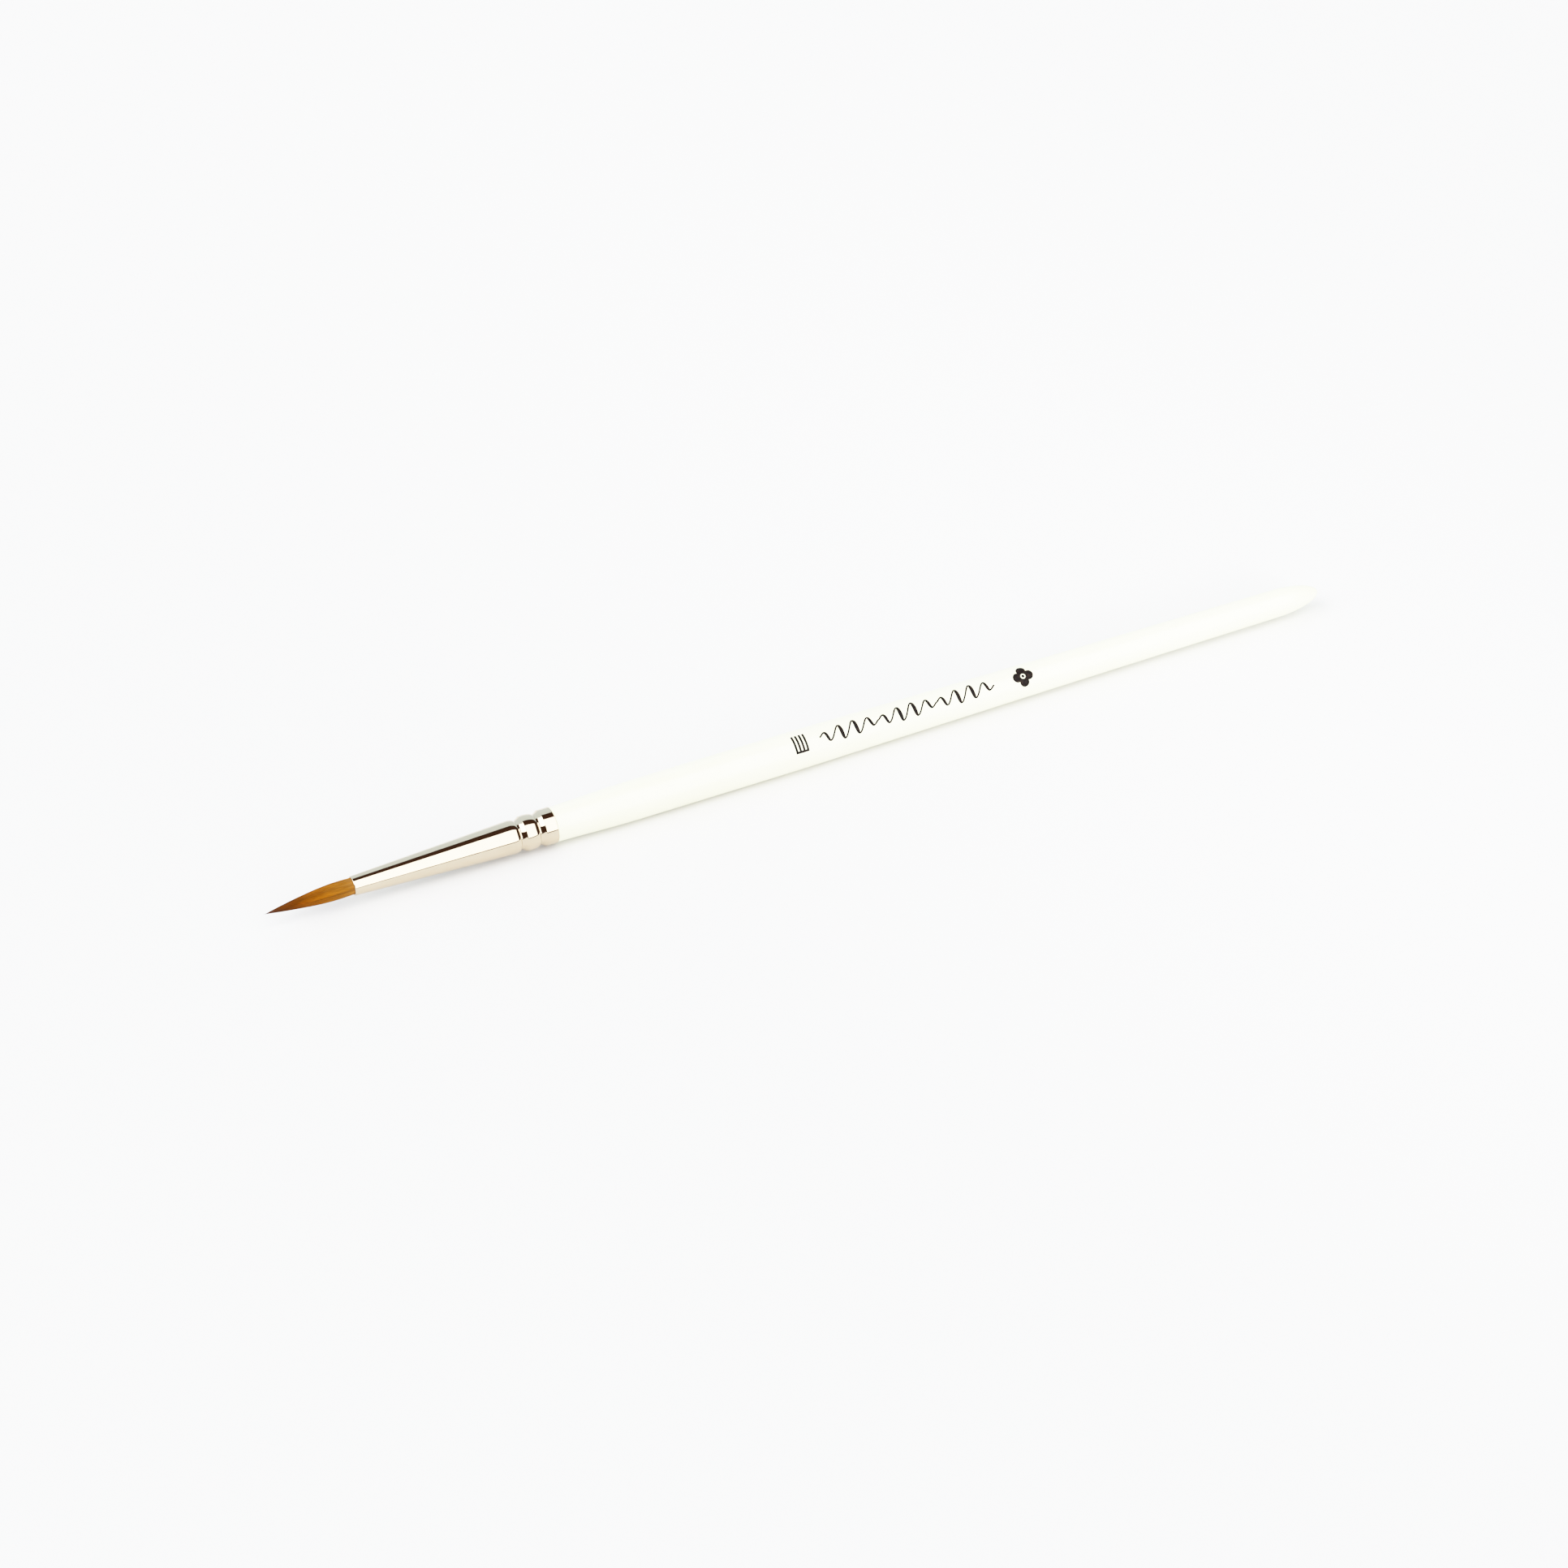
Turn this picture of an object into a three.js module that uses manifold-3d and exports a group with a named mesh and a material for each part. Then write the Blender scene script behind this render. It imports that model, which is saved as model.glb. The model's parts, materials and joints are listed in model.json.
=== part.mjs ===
// A fine detail brush for model painting: a pointed hair tuft, set in a plated metal ferrule that is
// crimped twice onto a lacquered wooden handle. Millimetres, +Z up. The brush lies along X with its
// point at -X, and the origin is under the middle of its length, on the plane that it rests on.
import * as THREE from 'three';
import { mergeVertices } from 'three/addons/utils/BufferGeometryUtils.js';
import Module from 'manifold-3d';

const wasm = await Module();
wasm.setup();

// Driving lengths along the brush.
const HAIR_OUT = 13.9;
const FERRULE_LENGTH = 32.4;
const HANDLE_VISIBLE = 134.1;
const TOTAL_LENGTH = HAIR_OUT + FERRULE_LENGTH + HANDLE_VISIBLE;

// Turned pieces share one number of facets, with a facet facing straight down.
const FACETS = 28;
const HALF_FACET = Math.PI / FACETS;

// Handle, with h measured back from the ferrule's rear rim.
const HANDLE_FRONT_RADIUS = 2.74;
const BELLY_RADIUS = 3.08;
const BELLY_START = 15;
const BELLY_END = 38;
const NOSE_LENGTH = 8;
const NOSE_RADIUS = 2.26;
const FRONT_SWELL = { startPull: 4.5, startRadius: 2.78, endPull: 8 };
const BACK_TAPER = { startPull: 46, endPull: 67, endRadius: 2.65 };
const FRONT_STEPS = 4;
const BACK_STEPS = 8;
const NOSE_STEPS = 6;
const LACQUER = 0.17;
const COAT_GAP = 0.01;
const RIM_GAP = 0.03;

// Ferrule, with d measured back from its mouth.
const MOUTH_RADIUS = 1.51;
const CONE_END = 25.6;
const CONE_END_RADIUS = 2.63;
const WALL = 0.225;
const LIP = 0.1;
const LIP_OUTER_EDGE = 0.05;
const LIP_INNER_EDGE = 0.03;
const BAND_CROWN = 0.025;
const CRIMP_DEPTH = 0.34;
const CRIMP_SHOULDER = 0.85;
const CRIMP_VALLEY = 0.07;
const CRIMP_FLANK = 0.7;
const CRIMP_STEPS = 4;
const FLANK_STEPS = 3;
const FLANK_POWER = 1.5;
const CRIMPS = [
  { at: 26.6, before: CONE_END_RADIUS, after: 2.72 },
  { at: 29.65, before: 2.745, after: 2.815 },
];
const REAR_RADIUS = 2.85;
const REAR_CHAMFER = 0.06;

// Tenon of the handle inside the ferrule, and the glue film on it.
const TENON_FRONT = 16;
const TENON_CHAMFER = 0.4;
const TENON_GAP = 0.1;
const GLUE_GAP = 0.02;
const GLUE_END = 24.5;
const GLUE_BEAD = 0.35;

// Hair bundle inside the ferrule, its binding and its resin.
const ROOT_RADIUS = 1.275;
const GRIP_DEPTH = 3.5;
const GRIP_RADIUS = 1.41;
const WAIST = { from: 8.4, to: 11.2, radius: 1.17 };
const BUNDLE_END = 13.2;
const BUNDLE_END_RADIUS = 1.36;
const BUNDLE_ROUND = 0.2;
const THREAD_RADIUS = 0.14;
const THREAD_TURNS = 6;
const THREAD_PITCH = 0.32;
const THREAD_CLEARANCE = 0.06;
const THREAD_SIDES = 6;
const THREAD_STEPS_PER_TURN = 16;
const RESIN_FRONT = 5;
const RESIN_BACK = 14.6;
const RESIN_GAP = 0.03;
const POCKET = { from: 8.6, to: 10.95, radius: 1.56 };

// Exposed hair: widest a little way out of the mouth, then an ogive to the point.
const HAIR_WIDEST = 2.8;
const HAIR_RADIUS = 1.37;
const OGIVE_POWER = 1.85;
const FLEX_GAP = 0.05;
const HEEL = { out: 1.5, swing: THREE.MathUtils.degToRad(20) };
const BELLY = { out: 5.7, swing: THREE.MathUtils.degToRad(30) };
const POINT = { out: 9.8, swing: THREE.MathUtils.degToRad(40) };
const SEGMENT_STEPS = 4;

// Stamped foil marks on the upper front of the handle.
const MARK_ELEVATION = THREE.MathUtils.degToRad(57);
const FOIL_LIFT = 0.012;
const FOIL_THICKNESS = 0.035;
const MARK_REACH = { inside: 1.2, outside: 4 };
const SIZE_MARK = { x: -3, bars: 4, pitch: 0.62, width: 0.34, height: 3, base: 0.34 };
const FLOURISH = { x: 15.5, length: 30.4, waves: 12, swells: 3, height: 1.2, slant: 0.3, steps: 120 };
const STROKE = { thin: 0.24, thick: 0.62 };
const EMBLEM = { x: 35.8, petal: 0.78, reach: 0.95, petals: 4, steps: 5 };

// Places along X, and the height of the brush's axis over the plane that it rests on.
const MOUTH_X = HAIR_OUT - TOTAL_LENGTH / 2;
const RIM_X = MOUTH_X + FERRULE_LENGTH;
const BUTT_X = TOTAL_LENGTH / 2;
const AXIS_Z = BELLY_RADIUS * Math.cos(HALF_FACET);

// ---- Outlines, as points of (radius, place along the brush) ----

const point = (radius, x) => new THREE.Vector2(radius, x);

function coneRadius(d) {
  return THREE.MathUtils.mapLinear(d, 0, CONE_END, MOUTH_RADIUS, CONE_END_RADIUS);
}

function innerRadius(d) {
  return coneRadius(d) - WALL;
}

// One rolled groove: a rounded shoulder, a narrow valley and a hollow flank up to the next band.
function crimpOutline({ at, before, after }) {
  const floor = before - CRIMP_DEPTH;
  const shoulderStart = at - CRIMP_VALLEY - CRIMP_SHOULDER;
  const points = [];
  for (let i = 0; i <= CRIMP_STEPS; i++) {
    const angle = (Math.PI / 2) * (i / CRIMP_STEPS);
    points.push([shoulderStart + CRIMP_SHOULDER * Math.sin(angle), floor + CRIMP_DEPTH * Math.cos(angle)]);
  }
  for (let i = 0; i <= FLANK_STEPS; i++) {
    const share = i / FLANK_STEPS;
    points.push([at + CRIMP_VALLEY + CRIMP_FLANK * share, floor + (after - floor) * share ** FLANK_POWER]);
  }
  return points;
}

// The ferrule's outside from the start of the first groove to the rear rim, as [d, radius].
function crimpedZone() {
  const [first, second] = CRIMPS.map(crimpOutline);
  const middle = (CRIMPS[0].at + CRIMPS[1].at) / 2;
  const crown = (CRIMPS[0].after + CRIMPS[1].before) / 2 + BAND_CROWN;
  return [...first, [middle, crown], ...second, [FERRULE_LENGTH - REAR_CHAMFER, REAR_RADIUS]];
}

// Outer outline of the whole handle as [h, radius], from the ferrule's rim to the start of the nose.
function handleOutline() {
  const swell = new THREE.CubicBezierCurve(
    new THREE.Vector2(0, HANDLE_FRONT_RADIUS),
    new THREE.Vector2(FRONT_SWELL.startPull, FRONT_SWELL.startRadius),
    new THREE.Vector2(FRONT_SWELL.endPull, BELLY_RADIUS),
    new THREE.Vector2(BELLY_START, BELLY_RADIUS),
  );
  const taper = new THREE.CubicBezierCurve(
    new THREE.Vector2(BELLY_END, BELLY_RADIUS),
    new THREE.Vector2(BACK_TAPER.startPull, BELLY_RADIUS),
    new THREE.Vector2(BACK_TAPER.endPull, BACK_TAPER.endRadius),
    new THREE.Vector2(HANDLE_VISIBLE - NOSE_LENGTH, NOSE_RADIUS),
  );
  return [...swell.getPoints(FRONT_STEPS), ...taper.getPoints(BACK_STEPS)].map((p) => [p.x, p.y]);
}

// The handle's outer surface, shrunk inwards by an inset, from the rim to the butt on the axis.
function handleSurface(inset) {
  const points = handleOutline().map(([h, radius]) => point(radius - inset, RIM_X + RIM_GAP + h));
  const noseStart = BUTT_X - NOSE_LENGTH;
  points.pop();
  for (let i = 0; i <= NOSE_STEPS; i++) {
    const angle = (Math.PI / 2) * (i / NOSE_STEPS);
    const x = noseStart + (NOSE_LENGTH - inset) * Math.sin(angle);
    points.push(point(i === NOSE_STEPS ? 0 : (NOSE_RADIUS - inset) * Math.cos(angle), x));
  }
  return points;
}

// Radius of the exposed hair at a distance out of the ferrule's mouth.
function hairRadius(out) {
  if (out < HAIR_WIDEST) {
    return HAIR_RADIUS - (HAIR_RADIUS - ROOT_RADIUS) * ((HAIR_WIDEST - out) / HAIR_WIDEST) ** 2;
  }
  return HAIR_RADIUS * (1 - ((out - HAIR_WIDEST) / (HAIR_OUT - HAIR_WIDEST)) ** OGIVE_POWER);
}

// How far a hair segment's end stands back from its flex pivot, at a given radius.
function endSetback(pivot, radius) {
  return FLEX_GAP / 2 + radius * Math.tan(pivot.swing / 2);
}

// ---- Solids ----

// Turns an outline around the brush's axis.
function turned(outline) {
  const geometry = new THREE.LatheGeometry(outline, FACETS, HALF_FACET, 2 * Math.PI);
  geometry.rotateZ(-Math.PI / 2);
  geometry.translate(0, 0, AXIS_Z);
  return geometry;
}

function closed(outline) {
  return [...outline, outline[0].clone()];
}

function handleCore() {
  const tenon = crimpedZone()
    .slice(0, -1)
    .map(([d, radius]) => point(radius - WALL - TENON_GAP, MOUTH_X + d));
  const tenonFront = innerRadius(TENON_FRONT) - TENON_GAP;
  const tenonRear = REAR_RADIUS - WALL - TENON_GAP;
  return turned([
    point(0, MOUTH_X + TENON_FRONT),
    point(tenonFront - TENON_CHAMFER, MOUTH_X + TENON_FRONT),
    point(tenonFront, MOUTH_X + TENON_FRONT + TENON_CHAMFER),
    ...tenon,
    point(tenonRear, RIM_X + RIM_GAP),
    ...handleSurface(LACQUER + COAT_GAP),
  ]);
}

function handleLacquer() {
  const inner = handleSurface(LACQUER).reverse();
  return turned([...inner, ...handleSurface(0)]);
}

function ferrule() {
  const outside = [[LIP, coneRadius(LIP)], ...crimpedZone()];
  const rearEnd = REAR_RADIUS - REAR_CHAMFER;
  const outer = outside.map(([d, radius]) => point(radius, MOUTH_X + d));
  const inner = outside.map(([d, radius]) => point(radius - WALL, MOUTH_X + d)).reverse();
  return turned(closed([
    ...outer,
    point(rearEnd, RIM_X),
    point(REAR_RADIUS - WALL, RIM_X),
    ...inner,
    point(innerRadius(0) + LIP_INNER_EDGE, MOUTH_X),
    point(coneRadius(0) - LIP_OUTER_EDGE, MOUTH_X),
  ]));
}

function tenonAdhesive() {
  const outerAt = (d) => point(innerRadius(d) - GLUE_GAP, MOUTH_X + d);
  const innerAt = (d) => point(innerRadius(d) - TENON_GAP + GLUE_GAP, MOUTH_X + d);
  const beadFront = TENON_FRONT - GLUE_BEAD;
  const chamferEdge = innerRadius(TENON_FRONT) - TENON_GAP - TENON_CHAMFER;
  return turned(closed([
    outerAt(beadFront),
    outerAt(GLUE_END),
    innerAt(GLUE_END),
    innerAt(TENON_FRONT + TENON_CHAMFER - GLUE_GAP),
    point(chamferEdge, MOUTH_X + TENON_FRONT - 2 * GLUE_GAP),
    point(chamferEdge + GLUE_BEAD / 2, MOUTH_X + beadFront),
  ]));
}

// The bundle's outside inside the ferrule, as [d, radius].
const BUNDLE = [
  [GRIP_DEPTH, GRIP_RADIUS],
  [WAIST.from, WAIST.radius],
  [WAIST.to, WAIST.radius],
  [BUNDLE_END, BUNDLE_END_RADIUS],
];

function bundleRadius(d) {
  const [from, to] = d < WAIST.from ? BUNDLE.slice(0, 2) : BUNDLE.slice(2);
  return THREE.MathUtils.mapLinear(d, from[0], to[0], from[1], to[1]);
}

function rootResin() {
  const wetted = (d) => point(bundleRadius(d) + RESIN_GAP, MOUTH_X + d);
  const wall = (d) => point(innerRadius(d) - GLUE_GAP, MOUTH_X + d);
  const clear = WAIST.radius + RESIN_GAP;
  const bundleBack = BUNDLE_END + BUNDLE_ROUND + RESIN_GAP;
  return turned([
    point(0, MOUTH_X + bundleBack),
    point(BUNDLE_END_RADIUS - BUNDLE_ROUND + RESIN_GAP, MOUTH_X + bundleBack),
    point(BUNDLE_END_RADIUS + RESIN_GAP, MOUTH_X + BUNDLE_END),
    point(clear, MOUTH_X + WAIST.to),
    point(clear, MOUTH_X + POCKET.to),
    point(POCKET.radius, MOUTH_X + POCKET.to),
    point(POCKET.radius, MOUTH_X + POCKET.from),
    point(clear, MOUTH_X + POCKET.from),
    point(clear, MOUTH_X + WAIST.from),
    wetted(RESIN_FRONT),
    wall(RESIN_FRONT),
    wall(RESIN_BACK),
    point(0, MOUTH_X + RESIN_BACK - BUNDLE_ROUND),
  ]);
}

class Winding extends THREE.Curve {
  getPoint(t) {
    const angle = 2 * Math.PI * THREAD_TURNS * t;
    const radius = WAIST.radius + THREAD_CLEARANCE + THREAD_RADIUS;
    const wound = THREAD_TURNS * THREAD_PITCH;
    const start = MOUTH_X + (POCKET.from + POCKET.to - wound) / 2;
    return new THREE.Vector3(start + wound * t, radius * Math.cos(angle), AXIS_Z + radius * Math.sin(angle));
  }
}

function bindingThread() {
  const section = new THREE.Shape();
  for (let i = 0; i < THREAD_SIDES; i++) {
    const angle = (2 * Math.PI * i) / THREAD_SIDES;
    const corner = [THREAD_RADIUS * Math.cos(angle), THREAD_RADIUS * Math.sin(angle)];
    if (i === 0) {
      section.moveTo(...corner);
    } else {
      section.lineTo(...corner);
    }
  }
  const steps = THREAD_TURNS * THREAD_STEPS_PER_TURN;
  return new THREE.ExtrudeGeometry(section, { steps, bevelEnabled: false, extrudePath: new Winding() });
}

function hairRoot() {
  const rim = hairRadius(HEEL.out);
  const inside = BUNDLE.map(([d, radius]) => point(radius, MOUTH_X + d));
  return turned([
    point(0, MOUTH_X - HEEL.out + endSetback(HEEL, 0)),
    point(rim, MOUTH_X - HEEL.out + endSetback(HEEL, rim)),
    point(hairRadius(HEEL.out / 2), MOUTH_X - HEEL.out / 2),
    point(ROOT_RADIUS, MOUTH_X),
    ...inside,
    point(BUNDLE_END_RADIUS - BUNDLE_ROUND, MOUTH_X + BUNDLE_END + BUNDLE_ROUND),
    point(0, MOUTH_X + BUNDLE_END + BUNDLE_ROUND),
  ]);
}

// A length of exposed hair between two flex pivots, or from the last pivot to the tip.
function hairSegment(near, far) {
  const nearRim = hairRadius(near.out);
  const nearEdge = near.out + endSetback(near, nearRim);
  const farRim = far ? hairRadius(far.out) : 0;
  const farEdge = far ? far.out - endSetback(far, farRim) : HAIR_OUT;
  const outline = far ? [point(0, MOUTH_X - far.out + endSetback(far, 0))] : [];
  for (let i = 0; i <= SEGMENT_STEPS; i++) {
    const out = THREE.MathUtils.lerp(farEdge, nearEdge, i / SEGMENT_STEPS);
    outline.push(point(hairRadius(out), MOUTH_X - out));
  }
  outline.push(point(0, MOUTH_X - near.out - endSetback(near, 0)));
  return turned(outline);
}

// ---- Foil marks: a flat shape pressed onto the handle as a thin skin that follows its facets ----

function toManifold(geometry) {
  const bare = geometry.clone();
  bare.deleteAttribute('normal');
  bare.deleteAttribute('uv');
  const merged = mergeVertices(bare);
  return new wasm.Manifold(new wasm.Mesh({
    numProp: 3,
    vertProperties: new Float32Array(merged.attributes.position.array),
    triVerts: new Uint32Array(merged.index.array),
  }));
}

function fromManifold(solid) {
  const mesh = solid.getMesh();
  const geometry = new THREE.BufferGeometry();
  geometry.setAttribute('position', new THREE.BufferAttribute(mesh.vertProperties, 3));
  geometry.setIndex(new THREE.BufferAttribute(mesh.triVerts, 1));
  geometry.computeVertexNormals();
  return geometry;
}

function foilSkin() {
  const skin = (lift) => handleSurface(-lift).slice(FRONT_STEPS, -NOSE_STEPS - 1);
  return turned(closed([...skin(FOIL_LIFT + FOIL_THICKNESS), ...skin(FOIL_LIFT).reverse()]));
}

function stamped(shape, x) {
  const depth = MARK_REACH.outside - MARK_REACH.inside;
  const block = new THREE.ExtrudeGeometry(shape, { depth, bevelEnabled: false, curveSegments: EMBLEM.steps });
  block.translate(0, 0, MARK_REACH.inside);
  block.rotateX(Math.PI / 2 - MARK_ELEVATION);
  block.translate(x, 0, AXIS_Z);
  return fromManifold(toManifold(block).intersect(toManifold(foilSkin())));
}

// Four upright bars on one base line.
function sizeMarkShape() {
  const { bars, pitch, width, height, base } = SIZE_MARK;
  const left = (-pitch * (bars - 1) - width) / 2;
  const shape = new THREE.Shape();
  shape.moveTo(left, -height / 2);
  shape.lineTo(-left, -height / 2);
  for (let i = bars - 1; i >= 0; i--) {
    const barLeft = left + i * pitch;
    shape.lineTo(barLeft + width, height / 2);
    shape.lineTo(barLeft, height / 2);
    if (i > 0) {
      shape.lineTo(barLeft, base - height / 2);
      shape.lineTo(barLeft - pitch + width, base - height / 2);
    }
  }
  return shape;
}

// A slanted pen-like wave in a few swells, thick on its falling strokes and thin between the swells.
function flourishShape() {
  const { length, waves, swells, height, slant, steps } = FLOURISH;
  const strokes = [];
  for (let i = 0; i <= steps; i++) {
    const t = i / steps;
    const phase = 2 * Math.PI * waves * t;
    const swell = Math.sqrt(Math.abs(Math.sin(Math.PI * swells * t)));
    const rise = height * swell * Math.sin(phase);
    const weight = swell * Math.max(0, -Math.cos(phase));
    strokes.push({
      centre: new THREE.Vector2(length * (t - 0.5) + slant * rise, rise),
      half: THREE.MathUtils.lerp(STROKE.thin, STROKE.thick, weight) / 2,
    });
  }
  const edge = (side) => strokes.map(({ centre, half }, i) => {
    const before = strokes[Math.max(i - 1, 0)].centre;
    const after = strokes[Math.min(i + 1, steps)].centre;
    const way = after.clone().sub(before).normalize();
    return centre.clone().add(new THREE.Vector2(-way.y, way.x).multiplyScalar(side * half));
  });
  return new THREE.Shape([...edge(-1), ...edge(1).reverse()]);
}

// A rosette with round petals.
function emblemShape() {
  const { petal, reach, petals } = EMBLEM;
  const half = Math.PI / petals;
  const spread = half + Math.asin((reach * Math.sin(half)) / petal);
  const shape = new THREE.Shape();
  for (let i = 0; i < petals; i++) {
    const turn = 2 * half * i;
    shape.absarc(reach * Math.cos(turn), reach * Math.sin(turn), petal, turn - spread, turn + spread);
  }
  return shape;
}

// ---- Materials ----

function surface(color, roughness, metalness = 0) {
  return new THREE.MeshStandardMaterial({ color, roughness, metalness });
}

const birch = () => surface('#d9bd8c', 0.65);
const whiteLacquer = () => surface('#f8f7ee', 0.18);
const nickelPlate = () => surface('#d8d4cc', 0.12, 1);
const hideGlue = () => surface('#c98f3c', 0.4);
const epoxy = () => surface('#a4682a', 0.25);
const cottonThread = () => surface('#ded5c0', 0.9);
const sableHair = () => surface('#b0702b', 0.6);
const blackFoil = () => surface('#1c1613', 0.35);

// ---- Assembly ----

const brush = new THREE.Group();

function add(name, geometry, material) {
  const mesh = new THREE.Mesh(geometry, material);
  mesh.name = name;
  brush.add(mesh);
}

add('handle_core', handleCore(), birch());
add('handle_lacquer', handleLacquer(), whiteLacquer());
add('ferrule', ferrule(), nickelPlate());
add('tenon_adhesive', tenonAdhesive(), hideGlue());
add('root_resin', rootResin(), epoxy());
add('binding_thread', bindingThread(), cottonThread());
add('hair_root', hairRoot(), sableHair());
add('hair_belly', hairSegment(HEEL, BELLY), sableHair());
add('hair_shoulder', hairSegment(BELLY, POINT), sableHair());
add('hair_point', hairSegment(POINT, null), sableHair());
add('size_mark_foil', stamped(sizeMarkShape(), SIZE_MARK.x), blackFoil());
add('flourish_foil', stamped(flourishShape(), FLOURISH.x), blackFoil());
add('emblem_foil', stamped(emblemShape(), EMBLEM.x), blackFoil());

export default brush;
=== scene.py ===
"""Fine detail brush: the visible surfaces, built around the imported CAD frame.

A pointed hair tuft, a polished ferrule with two rolled crimps and a white lacquered handle with black
foil marks, on a pale table in a small studio. Lengths in this script are millimetres unless a name
says otherwise; make_piece() turns them into Blender's metres.
"""

import json
import math
import random

import bmesh
import bpy
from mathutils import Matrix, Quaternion, Vector


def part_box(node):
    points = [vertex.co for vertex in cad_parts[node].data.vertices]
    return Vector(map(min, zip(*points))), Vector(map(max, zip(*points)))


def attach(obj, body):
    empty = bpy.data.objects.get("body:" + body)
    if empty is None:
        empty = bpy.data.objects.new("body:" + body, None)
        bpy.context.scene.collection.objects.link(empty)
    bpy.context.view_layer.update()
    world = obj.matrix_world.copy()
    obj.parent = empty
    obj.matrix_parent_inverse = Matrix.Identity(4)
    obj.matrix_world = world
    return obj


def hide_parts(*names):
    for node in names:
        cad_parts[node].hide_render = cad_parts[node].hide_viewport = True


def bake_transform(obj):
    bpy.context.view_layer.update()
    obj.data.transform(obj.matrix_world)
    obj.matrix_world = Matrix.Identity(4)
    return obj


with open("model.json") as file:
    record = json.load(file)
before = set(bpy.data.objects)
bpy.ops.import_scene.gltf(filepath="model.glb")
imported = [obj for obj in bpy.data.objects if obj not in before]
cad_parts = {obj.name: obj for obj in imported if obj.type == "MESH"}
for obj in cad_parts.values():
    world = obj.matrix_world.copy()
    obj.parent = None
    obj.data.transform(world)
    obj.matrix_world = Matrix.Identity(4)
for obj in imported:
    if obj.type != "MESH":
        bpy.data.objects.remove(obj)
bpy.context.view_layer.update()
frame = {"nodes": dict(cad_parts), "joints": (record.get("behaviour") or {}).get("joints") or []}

MM = 0.001
SEED = 41
CREASE_DEG = 35.0

# ---- Places taken from the frame ----

PIVOTS = {joint["name"]: Vector(joint["pos_m"]) / MM for joint in frame["joints"]}
AXIS_Z = PIVOTS["heel_flex"].z
MOUTH_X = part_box("ferrule")[0].x / MM
RIM_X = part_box("ferrule")[1].x / MM
COAT_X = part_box("handle_lacquer")[0].x / MM
BUTT_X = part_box("handle_lacquer")[1].x / MM
TIP_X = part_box("hair_point")[0].x / MM
HAIR_LENGTH = MOUTH_X - TIP_X
FERRULE_LENGTH = RIM_X - MOUTH_X
HANDLE_LENGTH = BUTT_X - RIM_X

# ---- Handle: radii along h, the distance behind the ferrule's rim ----

HANDLE_FRONT_RADIUS = 2.74
BELLY_RADIUS = 3.08
BELLY_START = 15.0
BELLY_END = 38.0
NOSE_LENGTH = 8.0
NOSE_RADIUS = 2.26
SWELL_PULLS = ((4.5, 2.78), (8.0, BELLY_RADIUS))
TAPER_PULLS = ((46.0, BELLY_RADIUS), (67.0, 2.65))
LACQUER = 0.17
COAT_EDGE = 0.05
HANDLE_SEGMENTS = 160
SWELL_STEPS = 24
TAPER_STEPS = 60
NOSE_STEPS = 32

# ---- Ferrule: radii along d, the distance behind its mouth ----

# LIP_RISE is how much the cone widens over the rolled lip.
MOUTH_RADIUS = 1.51
CONE_END_RADIUS = 2.63
WALL = 0.225
LIP_RISE = 0.004
LIP_STEPS = 12
RIM_RADIUS = 2.85
RIM_ROUND = 0.05
VALLEY_WIDTH = 0.1
SHOULDER_STEPS = 18
FLANK_LENGTH = 0.82
FLANK_POWER = 1.5
FLANK_STEPS = 8
EDGE_ROUND = 0.07
EDGE_STEPS = 4
GROOVES = (
    {"valley": 26.62, "before": CONE_END_RADIUS, "floor": 2.29, "after": 2.735, "shoulder": 1.15},
    {"valley": 29.68, "before": 2.785, "floor": 2.41, "after": 2.83, "shoulder": 1.5},
)
FERRULE_SEGMENTS = 192

# ---- Hair: radii along out, the distance in front of the ferrule's mouth ----

# The tuft leaves the mouth with the root's radius, is widest a little in front of it, and ends in an
# ogive. Its middle line sinks by the droop on the way to the point.
ROOT_RADIUS = 1.275
HAIR_WIDEST = 2.8
HAIR_RADIUS = 1.335
OGIVE_POWER = 1.52
DROOP = 0.28
DROOP_POWER = 1.3
HAIR_INSIDE = 2.0
HAIR_CREASE_DEG = 75.0

# The core fills the tuft to a share of its radius, and stops short of the point; its darkest tone is
# painted shade between the strands.
CORE_SHARE = 0.84
CORE_SETBACK = 0.3
CORE_SIDES = 48
CORE_STEPS = 12
CORE_RIDGES = 12
CORE_RIDGE = 0.02

# The strands lie over the core in two layers, given as shares of the tuft's radius. Most reach the
# point and the others end earlier. Each is a thin tube that narrows over its last STRAND_TAPER and
# drifts a little round the tuft. Neighbours share a lift and a tone in clumps.
STRAND_SIDES = 5
STRAND_LAYERS = (
    {"count": 150, "inner": 0.74, "outer": 0.88},
    {"count": 280, "inner": 0.93, "outer": 1.0},
)
STRAND_RADIUS = (0.034, 0.05)
STRAND_STEP = 0.42
STRAND_TAPER = 4.5
STRAND_TAPER_POWER = 0.5
STRAND_DRIFT = 0.05
STRAND_DRIFT_RATE = 0.5
FULL_LENGTH_SHARE = 0.62
SHORT_ENDS = (0.5, 0.94)
LONG_ENDS = (0.97, 1.015)
CLUMPS = 38
CLUMP_LIFT = 0.03
CLUMP_TONE = 0.65

# The hidden roots, as (d, radius): waisted where the thread is wound round them.
BUNDLE = ((1.5, 1.2), (3.5, 1.41), (8.4, 1.17), (11.2, 1.17), (13.2, 1.36), (13.4, 1.16))
BUNDLE_SIDES = 90
BUNDLE_RIDGE = 0.03
BUNDLE_TONE = 0.4

# ---- Foil marks, round the handle at an elevation above -Y ----

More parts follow.
